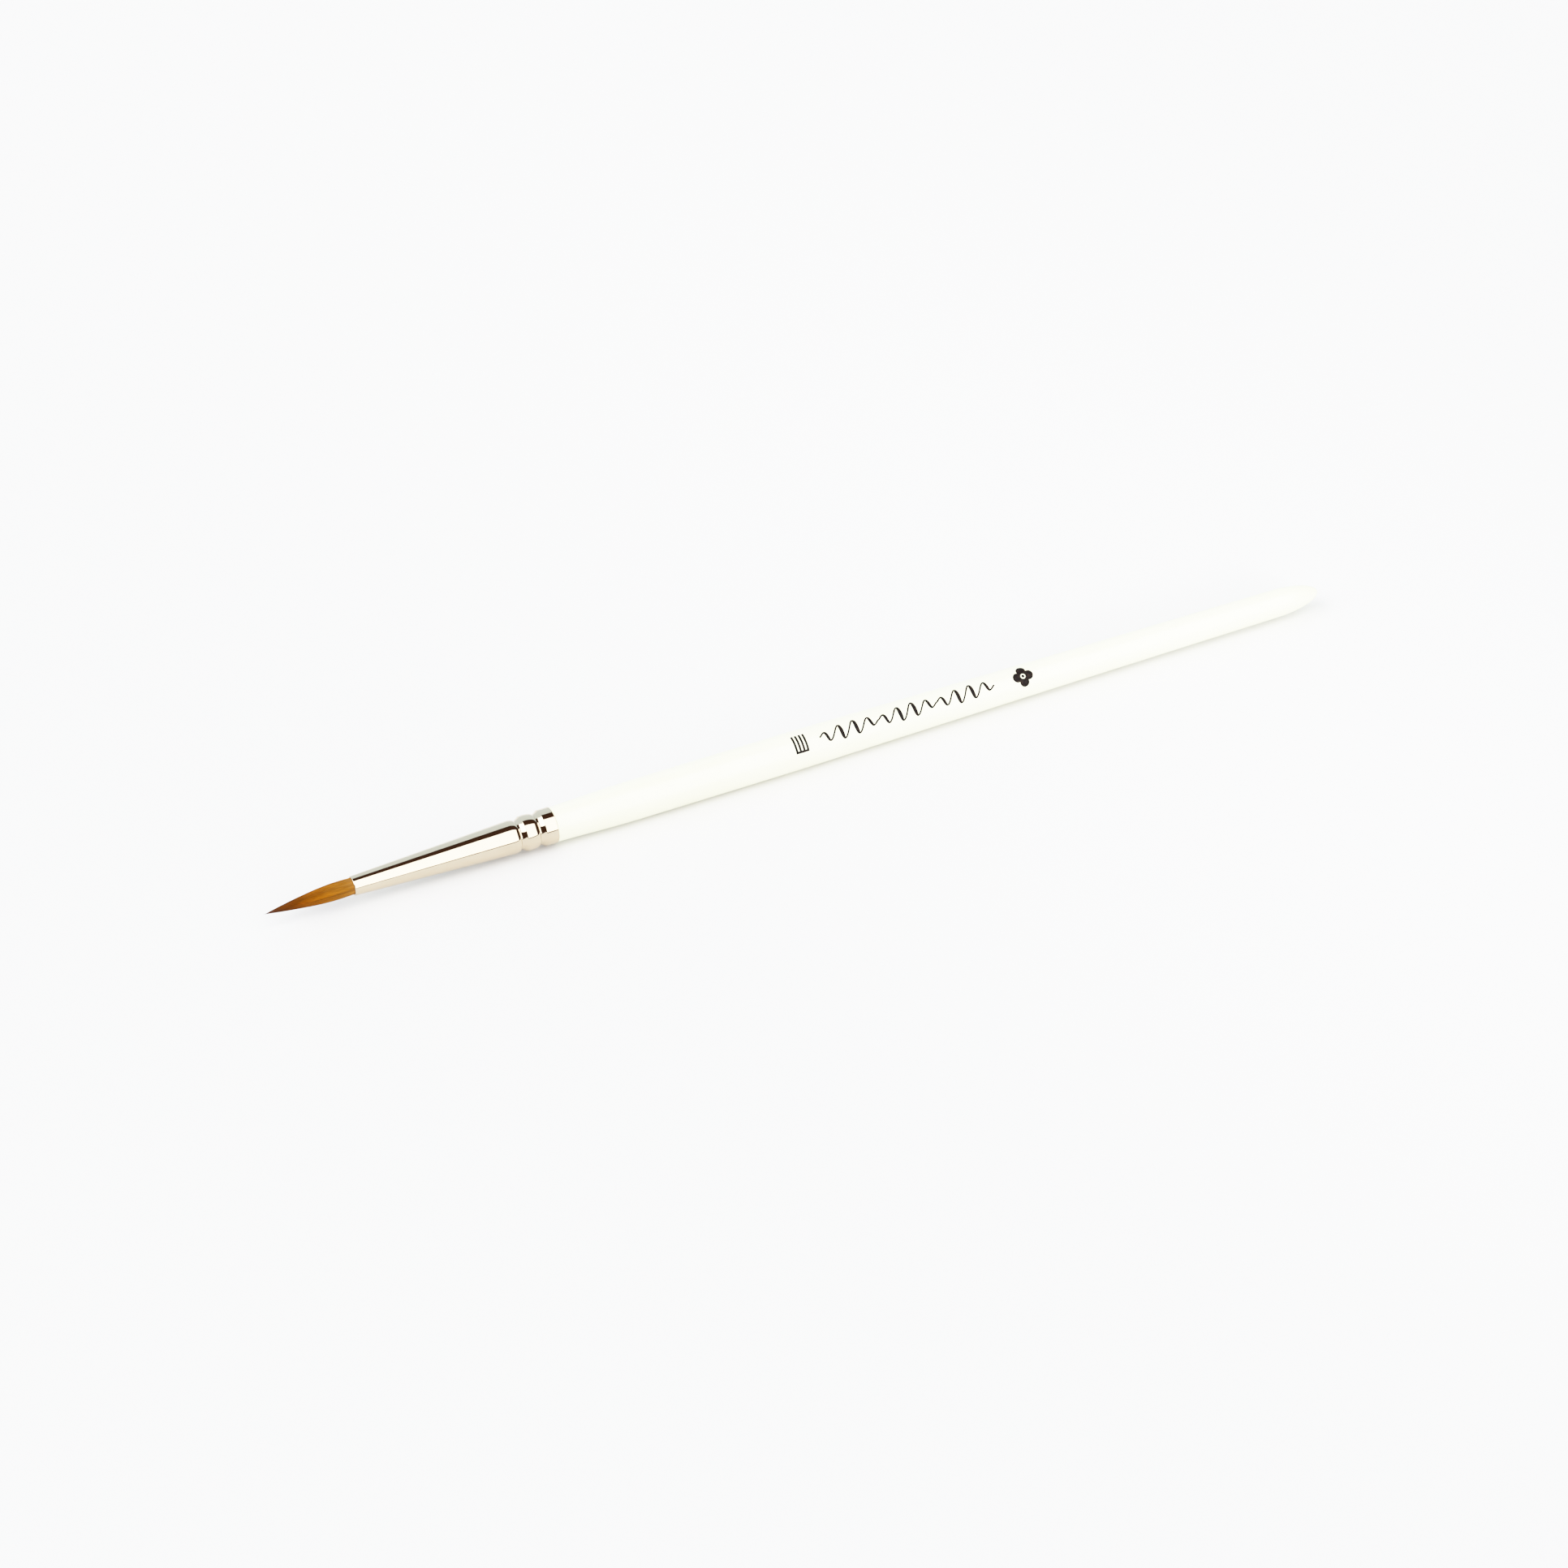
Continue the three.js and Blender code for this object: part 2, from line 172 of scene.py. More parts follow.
MARK_ELEVATION_DEG = 57.0
FOIL_BOTTOM = 0.004
FOIL_TOP = 0.03
SIZE_MARK = {"x": -3.0, "bars": 4, "pitch": 0.62, "width": 0.34, "height": 3.0, "base": 0.34}
SIZE_MARK_STEPS = 10
FLOURISH = {"x": 15.5, "length": 30.4, "waves": 12, "swells": 3, "height": 1.2, "slant": 0.3}
FLOURISH_STEPS = 630
STROKE_THIN = 0.24
STROKE_THICK = 0.62
STROKE_CELLS = 4
EMBLEM = {"x": 35.8, "petal": 0.78, "reach": 0.95, "petals": 4, "dot": 0.24, "hole": 0.42}
EMBLEM_SIDES = 96
EMBLEM_STEPS = 6


# ---- Meshes ----

def make_piece(name, vertices, faces, material, crease_deg=CREASE_DEG):
    """A new object from points in millimetres, smooth but for edges sharper than the crease."""
    mesh = bpy.data.meshes.new(name)
    mesh.from_pydata([Vector(v) * MM for v in vertices], [], faces)
    mesh.materials.append(material)
    work = bmesh.new()
    work.from_mesh(mesh)
    bmesh.ops.recalc_face_normals(work, faces=work.faces)
    work.to_mesh(mesh)
    work.free()
    mesh.shade_smooth()
    mesh.set_sharp_from_angle(angle=math.radians(crease_deg))
    piece = bpy.data.objects.new(name, mesh)
    bpy.context.scene.collection.objects.link(piece)
    return piece


def bridge(first, second, count):
    """Faces between two rings of vertex numbers, either of which may be a single pole."""
    faces = []
    for i in range(count):
        j = (i + 1) % count
        near = [first[i % len(first)], first[j % len(first)]]
        far = [second[j % len(second)], second[i % len(second)]]
        face = list(dict.fromkeys(near + far))
        if len(face) > 2:
            faces.append(face)
    return faces


def revolve(outline, segments, closed=False):
    """Vertices and faces of an outline of (x, radius) turned about the brush's axis."""
    vertices = []
    rings = []
    for x, radius in outline:
        count = segments if radius > 0 else 1
        rings.append(list(range(len(vertices), len(vertices) + count)))
        for i in range(count):
            angle = 2 * math.pi * i / segments
            vertices.append((x, radius * math.cos(angle), AXIS_Z + radius * math.sin(angle)))
    faces = []
    for first, second in zip(rings, rings[1:] + rings[:1] if closed else rings[1:]):
        faces += bridge(first, second, segments)
    return vertices, faces


def bezier(a, b, c, d, steps):
    """Points on a cubic from a to d, pulled towards b and c."""
    points = []
    for i in range(steps + 1):
        t = i / steps
        s = 1 - t
        weights = (s ** 3, 3 * s * s * t, 3 * s * t * t, t ** 3)
        points.append(tuple(sum(w * p[k] for w, p in zip(weights, (a, b, c, d))) for k in range(2)))
    return points


def at(outline, x):
    """The radius of an outline of (x, radius) at x, on straight lines between its points."""
    for (x0, r0), (x1, r1) in zip(outline, outline[1:]):
        if x0 <= x <= x1:
            return r0 + (r1 - r0) * (x - x0) / (x1 - x0)
    return outline[-1][1]


# ---- Handle ----

def handle_outline(inset=0.0):
    """The lacquer's outside, shrunk by an inset, from the ferrule's rim to the butt, as (x, radius)."""
    nose_start = HANDLE_LENGTH - NOSE_LENGTH
    front = (0.0, HANDLE_FRONT_RADIUS)
    points = bezier(front, *SWELL_PULLS, (BELLY_START, BELLY_RADIUS), SWELL_STEPS)
    points += bezier((BELLY_END, BELLY_RADIUS), *TAPER_PULLS, (nose_start, NOSE_RADIUS), TAPER_STEPS)
    outline = [(RIM_X + h, radius - inset) for h, radius in points]
    for i in range(1, NOSE_STEPS + 1):
        angle = math.pi / 2 * i / NOSE_STEPS
        x = RIM_X + nose_start + (NOSE_LENGTH - inset) * math.sin(angle)
        outline.append((x, (NOSE_RADIUS - inset) * math.cos(angle) if i < NOSE_STEPS else 0.0))
    return outline


HANDLE_OUTLINE = handle_outline()


def build_handle():
    """The lacquer as a shell of even thickness, open at the ferrule, with a softened front edge."""
    outside = [point for point in HANDLE_OUTLINE if point[0] > COAT_X + COAT_EDGE]
    inside = [point for point in handle_outline(LACQUER) if point[0] > COAT_X + COAT_EDGE]
    front = [
        (COAT_X, HANDLE_FRONT_RADIUS - LACQUER),
        (COAT_X, HANDLE_FRONT_RADIUS - COAT_EDGE),
        (COAT_X + COAT_EDGE, HANDLE_FRONT_RADIUS),
    ]
    vertices, faces = revolve(list(reversed(inside)) + front + outside, HANDLE_SEGMENTS)
    coat = make_piece("handle_coat", vertices, faces, lacquer_material())
    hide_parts("handle_lacquer")
    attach(coat, "brush")


# ---- Ferrule ----

def rounded(before, corner, after):
    """A corner of an outline replaced by a small curve between the points before and after it."""
    corner = Vector(corner)
    a = corner + (Vector(before) - corner).normalized() * EDGE_ROUND
    b = corner + (Vector(after) - corner).normalized() * EDGE_ROUND
    points = []
    for i in range(EDGE_STEPS + 1):
        t = i / EDGE_STEPS
        point = a * (1 - t) ** 2 + corner * 2 * t * (1 - t) + b * t * t
        points.append((point.x, point.y))
    return points


def groove_outline(groove, next_point):
    """One rolled groove: a long round shoulder, a narrow valley and a hollow flank up to a crisp edge."""
    depth = groove["before"] - groove["floor"]
    rise = groove["after"] - groove["floor"]
    shoulder_end = groove["valley"] - VALLEY_WIDTH / 2
    points = []
    for i in range(SHOULDER_STEPS + 1):
        angle = math.pi / 2 * i / SHOULDER_STEPS
        along = shoulder_end - groove["shoulder"] * (1 - math.sin(angle))
        points.append((along, groove["floor"] + depth * math.cos(angle)))
    flank = []
    for i in range(FLANK_STEPS + 1):
        share = i / FLANK_STEPS
        along = groove["valley"] + VALLEY_WIDTH / 2 + FLANK_LENGTH * share
        flank.append((along, groove["floor"] + rise * share ** FLANK_POWER))
    edge = flank.pop()
    points += flank
    points += rounded(flank[-1], edge, next_point)
    return points


def ferrule_outline():
    """The ferrule's outside as (d, radius), from just inside the mouth's lip to the rear rim."""
    first, second = GROOVES
    second_start = (second["valley"] - VALLEY_WIDTH / 2 - second["shoulder"], second["before"])
    rim = (FERRULE_LENGTH, RIM_RADIUS)
    points = [(WALL / 2, MOUTH_RADIUS + LIP_RISE)]
    points += groove_outline(first, second_start)
    points += groove_outline(second, rim)
    points.append((FERRULE_LENGTH - RIM_ROUND, RIM_RADIUS))
    return points


def build_ferrule():
    """A tube of even wall with a rolled lip at the mouth and a rounded rear rim."""
    outside = ferrule_outline()
    inside = [(d, radius - WALL) for d, radius in reversed(outside)]
    lip_round = WALL / 2
    lip_radius = outside[0][1] - lip_round
    lip = []
    for i in range(1, LIP_STEPS):
        angle = math.pi * (1.5 - i / LIP_STEPS)
        lip.append((lip_round + lip_round * math.cos(angle), lip_radius + lip_round * math.sin(angle)))
    rim = [
        (FERRULE_LENGTH, RIM_RADIUS - RIM_ROUND),
        (FERRULE_LENGTH, RIM_RADIUS - WALL),
    ]
    profile = [(MOUTH_X + d, radius) for d, radius in outside + rim + inside + lip]
    vertices, faces = revolve(profile, FERRULE_SEGMENTS, closed=True)
    shell = make_piece("ferrule_shell", vertices, faces, nickel_material())
    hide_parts("ferrule")
    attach(shell, "brush")


# ---- Hair ----

def hair_radius(out):
    """Radius of the tuft at a distance out of the mouth; inside the ferrule it stays as at the mouth."""
    if out < 0:
        return ROOT_RADIUS
    if out < HAIR_WIDEST:
        return HAIR_RADIUS - (HAIR_RADIUS - ROOT_RADIUS) * ((HAIR_WIDEST - out) / HAIR_WIDEST) ** 2
    share = (out - HAIR_WIDEST) / (HAIR_LENGTH - HAIR_WIDEST)
    return HAIR_RADIUS * (1 - min(share, 1.0) ** OGIVE_POWER)


def hair_centre(out):
    """The tuft's middle line sinks a little towards the point."""
    share = min(max(out / HAIR_LENGTH, 0.0), 1.0)
    return Vector((MOUTH_X - out, 0.0, AXIS_Z - DROOP * share ** DROOP_POWER))


def make_strands(rng):
    """Every strand of the tuft: its angle, place in the tuft, end, thickness, drift and tone."""
    strands = []
    clumps = [{"lift": rng.uniform(-1, 1) * CLUMP_LIFT, "tone": rng.random()} for _ in range(CLUMPS)]
    for layer in STRAND_LAYERS:
        for i in range(layer["count"]):
            angle = 2 * math.pi * (i + rng.random()) / layer["count"]
            ends = LONG_ENDS if rng.random() < FULL_LENGTH_SHARE else SHORT_ENDS
            clump = clumps[int(angle / (2 * math.pi) * CLUMPS) % CLUMPS]
            strands.append({
                "angle": angle,
                "share": rng.uniform(layer["inner"], layer["outer"]) + clump["lift"],
                "end": HAIR_LENGTH * rng.uniform(*ends),
                "radius": rng.uniform(*STRAND_RADIUS),
                "drift": rng.uniform(-STRAND_DRIFT, STRAND_DRIFT),
                "phase": rng.uniform(0, 2 * math.pi),
                "tone": CLUMP_TONE * clump["tone"] + (1 - CLUMP_TONE) * rng.random(),
            })
    return strands


def strand_ring(strand, out):
    """The centre, radius and angle of one strand at a distance out of the mouth."""
    left = max(strand["end"] - out, 0.0) / STRAND_TAPER
    radius = strand["radius"] * min(left, 1.0) ** STRAND_TAPER_POWER
    angle = strand["angle"] + strand["drift"] * math.sin(STRAND_DRIFT_RATE * out + strand["phase"])
    reach = max(strand["share"] * hair_radius(out) - radius, 0.0)
    centre = hair_centre(out) + Vector((0.0, reach * math.cos(angle), reach * math.sin(angle)))
    return centre, radius, angle


def strand_stations(start, stop, end):
    """Distances out of the mouth at which a strand gets a ring within one piece."""
    last = min(stop, end)
    steps = max(2, math.ceil((last - start) / STRAND_STEP))
    return [start + (last - start) * i / steps for i in range(steps + 1)]


def add_strand(strand, start, stop, vertices, faces, values):
    """Adds the part of a strand that lies between two cuts, as a closed tapered tube."""
    if strand["end"] < start + STRAND_STEP / 2:
        return
    rings = []
    for out in strand_stations(start, stop, strand["end"]):
        centre, radius, angle = strand_ring(strand, out)
        at_end = out >= strand["end"] - 1e-9
        count = 1 if at_end else STRAND_SIDES
        rings.append(list(range(len(vertices), len(vertices) + count)))
        for i in range(count):
            turn = angle + 2 * math.pi * i / STRAND_SIDES
            size = 0.0 if at_end else radius
            vertices.append(centre + Vector((0.0, size * math.cos(turn), size * math.sin(turn))))
            values.append((out / HAIR_LENGTH, strand["tone"]))
    for first, second in zip(rings, rings[1:]):
        faces += bridge(first, second, STRAND_SIDES)
    faces.append(rings[0])
    if len(rings[-1]) > 1:
        faces.append(rings[-1])


def add_core(start, stop, vertices, faces, values):
    """The dense inner hair under the strands, slightly ridged, between two cuts, in the darkest tone as
    painted shade between the strands.
    """
    last = min(stop, HAIR_LENGTH - CORE_SETBACK)
    rings = []
    for i in range(CORE_STEPS + 1):
        out = start + (last - start) * i / CORE_STEPS
        centre = hair_centre(out)
        rings.append(list(range(len(vertices), len(vertices) + CORE_SIDES)))
        for j in range(CORE_SIDES):
            turn = 2 * math.pi * j / CORE_SIDES
            ridges = 1 + CORE_RIDGE * math.sin(CORE_RIDGES * turn)
            radius = CORE_SHARE * hair_radius(out) * ridges
            vertices.append(centre + Vector((0.0, radius * math.cos(turn), radius * math.sin(turn))))
            # Tone 0, the darkest, paints the shade between the strands onto the core.
            values.append((out / HAIR_LENGTH, 0.0))
    for first, second in zip(rings, rings[1:]):
        faces += bridge(first, second, CORE_SIDES)
    faces.append(rings[0])
    faces.append(rings[-1])


def set_hair_values(piece, values):
    """Gives each vertex its place along the tuft and its tone, which the hair's material reads."""
    for index, label in enumerate(("along", "tone")):
        attribute = piece.data.attributes.new(label, "FLOAT", "POINT")
        attribute.data.foreach_set("value", [value[index] for value in values])


def hair_piece(name, strands, start, stop, material):
    """The core and all strands between two cuts, as one mesh."""
    vertices, faces, values = [], [], []
    add_core(start, stop, vertices, faces, values)
    for strand in strands:
        add_strand(strand, start, stop, vertices, faces, values)
    piece = make_piece(name, vertices, faces, material, HAIR_CREASE_DEG)
    set_hair_values(piece, values)
    return piece


def build_hair():
    """Three lengths of one tuft, which meet midway between the hinges."""
    strands = make_strands(random.Random(SEED))
    material = hair_material()
    out = {name: MOUTH_X - pivot.x for name, pivot in PIVOTS.items()}
    first_cut = (out["heel_flex"] + out["belly_flex"]) / 2
    second_cut = (out["belly_flex"] + out["point_flex"]) / 2
    lengths = (
        ("hair_heel_strands", -HAIR_INSIDE, first_cut, "heel_flex", ["hair_root", "hair_belly"]),
        ("hair_mid_strands", first_cut, second_cut, "belly_flex", ["hair_shoulder"]),
        ("hair_tip_strands", second_cut, HAIR_LENGTH * LONG_ENDS[1], "point_flex", ["hair_point"]),
    )
    for name, start, stop, hinge, nodes in lengths:
        piece = hair_piece(name, strands, start, stop, material)
        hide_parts(*nodes)
        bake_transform(piece)


def build_bundle():
    """The tied roots inside the ferrule, ridged along the hairs."""
    vertices, faces, rings = [], [], []
    for d, radius in BUNDLE:
        rings.append(list(range(len(vertices), len(vertices) + BUNDLE_SIDES)))
        for i in range(BUNDLE_SIDES):
            angle = 2 * math.pi * i / BUNDLE_SIDES
            ridged = radius - BUNDLE_RIDGE * (i % 2)
            vertices.append((MOUTH_X + d, ridged * math.cos(angle), AXIS_Z + ridged * math.sin(angle)))
    for first, second in zip(rings, rings[1:]):
        faces += bridge(first, second, BUNDLE_SIDES)
    faces += [rings[0], rings[-1]]
    bundle = make_piece("hair_bundle", vertices, faces, hair_material())
    set_hair_values(bundle, [(0.0, BUNDLE_TONE)] * len(vertices))
    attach(bundle, "brush")


# ---- Foil marks ----

def on_handle(x, rise, lift):
    """A point of a flat mark wrapped onto the handle. Its rise is measured round the handle, upwards."""
    radius = at(HANDLE_OUTLINE, x)
    angle = math.radians(MARK_ELEVATION_DEG) + rise / radius
    reach = radius + lift
    return (x, -reach * math.cos(angle), AXIS_Z + reach * math.sin(angle))


def foil(name, node, x, points, cells):
    """A thin closed skin from a flat shape of (along, rise) points and the faces between them."""
    count = len(points)
    vertices = [on_handle(x + u, v, FOIL_TOP) for u, v in points]
    vertices += [on_handle(x + u, v, FOIL_BOTTOM) for u, v in points]
    used = {}
    for cell in cells:
        for a, b in zip(cell, list(cell[1:]) + [cell[0]]):
            used[frozenset((a, b))] = used.get(frozenset((a, b)), []) + [(a, b)]
    border = [pairs[0] for pairs in used.values() if len(pairs) == 1]
    faces = [list(cell) for cell in cells]
    faces += [[i + count for i in reversed(cell)] for cell in cells]
    faces += [[b, a, a + count, b + count] for a, b in border]
    mark = make_piece(name, vertices, faces, foil_material())
    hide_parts(node)
    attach(mark, "brush")


def lattice(columns, rows, keep):
    """Points and cells of a grid of columns and rows, where keep says which cells exist."""
    points, cells, numbers = [], [], {}

    def number(i, j):
        if (i, j) not in numbers:
            numbers[(i, j)] = len(points)
            points.append((columns[i], rows[j]))
        return numbers[(i, j)]

    for i in range(len(columns) - 1):
        for j in range(len(rows) - 1):
            if keep(i, j):
                cells.append([number(i, j), number(i + 1, j), number(i + 1, j + 1), number(i, j + 1)])
    return points, cells


def build_size_mark():
    """Four upright bars on one base line."""
    bars, pitch, width, height = (SIZE_MARK[key] for key in ("bars", "pitch", "width", "height"))
    left = (-pitch * (bars - 1) - width) / 2
    columns = [left + i * pitch + side for i in range(bars) for side in (0.0, width)]
    foot = -height / 2
    rows = [foot, foot + SIZE_MARK["base"]]
    for i in range(1, SIZE_MARK_STEPS + 1):
        rows.append(rows[1] + (height - SIZE_MARK["base"]) * i / SIZE_MARK_STEPS)
    points, cells = lattice(columns, rows, lambda i, j: j == 0 or i % 2 == 0)
    foil("size_mark", "size_mark_foil", SIZE_MARK["x"], points, cells)


def build_flourish():
    """A slanted pen-like wave in a few swells: thick on its falling strokes, thin between the swells."""
    centre, half = [], []
    for i in range(FLOURISH_STEPS + 1):
        t = i / FLOURISH_STEPS
        phase = 2 * math.pi * FLOURISH["waves"] * t
        swell = math.sqrt(abs(math.sin(math.pi * FLOURISH["swells"] * t)))
        rise = FLOURISH["height"] * swell * math.sin(phase)
        centre.append(Vector((FLOURISH["length"] * (t - 0.5) + FLOURISH["slant"] * rise, rise)))
        press = swell * max(0.0, -math.cos(phase))
        half.append((STROKE_THIN + (STROKE_THICK - STROKE_THIN) * press) / 2)
    points = []
    for i in range(FLOURISH_STEPS + 1):
        way = (centre[min(i + 1, FLOURISH_STEPS)] - centre[max(i - 1, 0)]).normalized()
        side = Vector((-way.y, way.x))
        for j in range(STROKE_CELLS + 1):
            points.append(tuple(centre[i] + side * half[i] * (2 * j / STROKE_CELLS - 1)))
    cells = []
    for i in range(FLOURISH_STEPS):
        for j in range(STROKE_CELLS):
            a = i * (STROKE_CELLS + 1) + j
            b = a + STROKE_CELLS + 1
            cells.append([a, b, b + 1, a + 1])
    foil("flourish_mark", "flourish_foil", FLOURISH["x"], points, cells)


def emblem_edge(angle):
    """How far the rosette reaches at an angle: the round petal that the angle points into."""
    half = math.pi / EMBLEM["petals"]
    off = (angle + half) % (2 * half) - half
    across = EMBLEM["reach"] * math.sin(off)
    return EMBLEM["reach"] * math.cos(off) + math.sqrt(EMBLEM["petal"] ** 2 - across ** 2)


def build_emblem():
    """A rosette of round petals round an open ring and a dot."""
    dot, hole = EMBLEM["dot"], EMBLEM["hole"]
    angles = [2 * math.pi * i / EMBLEM_SIDES for i in range(EMBLEM_SIDES)]
    points, cells = [(0.0, 0.0)], []
    dot_ring = []
    for angle in angles:
        dot_ring.append(len(points))
        points.append((dot * math.cos(angle), dot * math.sin(angle)))
    for i in range(EMBLEM_SIDES):
        cells.append([0, dot_ring[i], dot_ring[(i + 1) % EMBLEM_SIDES]])
    rings = []
    for k in range(EMBLEM_STEPS + 1):
        ring = []
        for angle in angles:
            reach = hole + (emblem_edge(angle) - hole) * k / EMBLEM_STEPS
            ring.append(len(points))
            points.append((reach * math.cos(angle), reach * math.sin(angle)))
        rings.append(ring)
    for first, second in zip(rings, rings[1:]):
        cells += bridge(first, second, EMBLEM_SIDES)
    foil("emblem_mark", "emblem_foil", EMBLEM["x"], points, cells)


# ---- Materials ----

def new_material(name):
    """A node material, its tree and its main shader."""
    material = bpy.data.materials.new(name)
    material.use_nodes = True
    return material, material.node_tree, material.node_tree.nodes["Principled BSDF"]


def add_node(tree, kind, inputs=None, **settings):
    """A node with its settings, and each input either linked to a socket or set to a value."""
    node = tree.nodes.new(kind)
    for key, value in settings.items():
        setattr(node, key, value)
    for key, value in (inputs or {}).items():
        if isinstance(value, bpy.types.NodeSocket):
            tree.links.new(value, node.inputs[key])
        else:
            node.inputs[key].default_value = value
    return node


def maths(tree, operation, a, b=0.0):
    """One operation on two values or sockets."""
    return add_node(tree, "ShaderNodeMath", {0: a, 1: b}, operation=operation).outputs[0]


def mix_colour(tree, blend, a, b, fac=1.0):
    """Two colours blended by a factor. The node's colour sockets are inputs 6 and 7 and output 2."""
    settings = {"data_type": "RGBA", "blend_type": blend}
    return add_node(tree, "ShaderNodeMix", {0: fac, 6: a, 7: b}, **settings).outputs[2]


def object_coords(tree, scale=(1.0, 1.0, 1.0)):
    """Object coordinates in millimetres, stretched by a scale."""
    coords = add_node(tree, "ShaderNodeTexCoord").outputs["Object"]
    inputs = {"Vector": coords, "Scale": [share / MM for share in scale]}
    return add_node(tree, "ShaderNodeMapping", inputs).outputs[0]


def noise(tree, vector, scale, detail=3.0, roughness=0.5):
    """A smooth noise between 0 and 1, mostly near the middle."""
    inputs = {"Vector": vector, "Scale": scale, "Detail": detail, "Roughness": roughness}
    return add_node(tree, "ShaderNodeTexNoise", inputs).outputs["Fac"]


def ramp(tree, fac, *stops):
    """Colours along a factor, each stop being (place, colour)."""
    node = add_node(tree, "ShaderNodeValToRGB", {"Fac": fac})
    elements = node.color_ramp.elements
    while len(elements) < len(stops):
        elements.new(0.5)
    for element, (place, colour) in zip(elements, stops):
        element.position = place
        element.color = (*colour, 1.0)
    return node.outputs["Color"]


def spread(tree, fac, low, high):
    """A factor from 0 to 1 spread between low and high."""
    return add_node(tree, "ShaderNodeMapRange", {"Value": fac, "To Min": low, "To Max": high}).outputs[0]


def bump(tree, shader, height, distance_mm, strength):
    """Fine relief in the shading only."""
    inputs = {"Height": height, "Distance": distance_mm * MM, "Strength": strength}
    node = add_node(tree, "ShaderNodeBump", inputs)
    tree.links.new(node.outputs[0], shader.inputs["Normal"])


def feed(tree, shader, **inputs):
    """Links or sets a shader's inputs, named with _ for each space."""
    for key, value in inputs.items():
        socket = shader.inputs[key.replace("_", " ")]
        if isinstance(value, bpy.types.NodeSocket):
            tree.links.new(value, socket)
        else:
            socket.default_value = value


def lacquer_material():
    """Glossy off-white lacquer: a clear skin with slight orange peel over faintly mottled ivory."""
    material, tree, shader = new_material("white_lacquer")
    mottle = noise(tree, object_coords(tree, (0.15, 0.5, 0.5)), scale=1.0)
    colour = ramp(tree, mottle, (0.3, (0.88, 0.875, 0.60)), (0.7, (0.90, 0.895, 0.64)))
    feed(tree, shader, Base_Color=colour, Roughness=0.3, Coat_Weight=0.6, Coat_Roughness=0.06, Coat_IOR=1.5)
    feed(tree, shader, Specular_IOR_Level=0.4)
    peel = noise(tree, object_coords(tree, (0.3, 1.0, 1.0)), scale=1.6, detail=2.0)
    bump(tree, shader, peel, distance_mm=0.006, strength=0.6)
    return material


def nickel_material():
    """Polished plating with faint drawing lines along the tube and a slightly uneven shine."""
    material, tree, shader = new_material("nickel_plate")
    drawn = noise(tree, object_coords(tree, (0.05, 6.0, 6.0)), scale=2.0, detail=4.0)
    cloud = noise(tree, object_coords(tree, (0.4, 1.0, 1.0)), scale=1.0)
    tint = ramp(tree, cloud, (0.3, (0.53, 0.43, 0.30)), (0.7, (0.56, 0.46, 0.33)))
    feed(tree, shader, Base_Color=tint, Metallic=1.0, Roughness=spread(tree, drawn, 0.03, 0.09))
    bump(tree, shader, drawn, distance_mm=0.0015, strength=0.5)
    return material


def hair_material():
    """Sable: golden at the root, red-brown and then dark towards the point, with locks and streaks. The
    core's lowest tone is painted shade between the strands.
    """
    material, tree, shader = new_material("sable_hair")
    along = add_node(tree, "ShaderNodeAttribute", attribute_name="along").outputs["Fac"]
    tone = add_node(tree, "ShaderNodeAttribute", attribute_name="tone").outputs["Fac"]
    streak = noise(tree, object_coords(tree, (0.35, 5.0, 5.0)), scale=1.5)
    lock = noise(tree, object_coords(tree, (0.22, 2.1, 2.1)), scale=1.0)
    uneven = maths(tree, "ADD", along, spread(tree, tone, -0.09, 0.09))
    colour = ramp(
        tree, uneven,
        (0.0, (0.247, 0.097, 0.018)), (0.12, (0.184, 0.062, 0.0056)), (0.42, (0.148, 0.039, 0.001)),
        (0.68, (0.053, 0.0105, 0.0003)), (0.86, (0.037, 0.008, 0.001)), (1.0, (0.03, 0.012, 0.01)),
    )
    gentle = maths(tree, "MULTIPLY", spread(tree, tone, 0.62, 1.45), spread(tree, streak, 0.75, 1.25))
    strong = maths(tree, "MULTIPLY", spread(tree, tone, 0.22, 2.1), spread(tree, streak, 0.6, 1.4))
    reach = {"Value": along, "From Min": 0.25, "From Max": 0.75}
    towards_tip = add_node(tree, "ShaderNodeMapRange", reach).outputs[0]
    shade = mix_colour(tree, "MIX", gentle, strong, towards_tip)
    locked = maths(tree, "MULTIPLY", shade, spread(tree, lock, 0.1, 1.95))
    shaded = mix_colour(tree, "MULTIPLY", colour, locked)
    feed(tree, shader, Base_Color=shaded, Roughness=0.45, Specular_IOR_Level=0.17)
    feed(tree, shader, Specular_Tint=(0.9, 0.45, 0.06, 1.0))
    bump(tree, shader, streak, distance_mm=0.01, strength=0.4)
    return material


def foil_material():
    """Black stamping foil, brownish where it has worn thin."""
    material, tree, shader = new_material("black_foil")
    wear = noise(tree, object_coords(tree), scale=2.2, detail=5.0, roughness=0.65)
    colour = ramp(tree, wear, (0.45, (0.003, 0.002, 0.002)), (0.75, (0.018, 0.010, 0.007)))
    feed(tree, shader, Base_Color=colour, Roughness=spread(tree, wear, 0.35, 0.6), Specular_IOR_Level=0.05)
    bump(tree, shader, wear, distance_mm=0.004, strength=0.4)
    return material


def birch_material():
    """Pale turned wood: long fibres with darker growth bands."""
    material, tree, shader = new_material("birch")
    fibre = noise(tree, object_coords(tree, (0.06, 3.0, 3.0)), scale=2.0, detail=5.0)
    wave = {"Vector": object_coords(tree, (0.02, 0.5, 0.5)), "Scale": 1.0, "Distortion": 3.0}
    rings = add_node(tree, "ShaderNodeTexWave", wave, wave_type="RINGS").outputs["Fac"]
    mixed = maths(tree, "MULTIPLY", fibre, spread(tree, rings, 0.7, 1.2))
    colour = ramp(tree, mixed, (0.2, (0.50, 0.34, 0.18)), (0.7, (0.70, 0.53, 0.32)))
    feed(tree, shader, Base_Color=colour, Roughness=0.65)
    bump(tree, shader, fibre, distance_mm=0.02, strength=0.5)
    return material


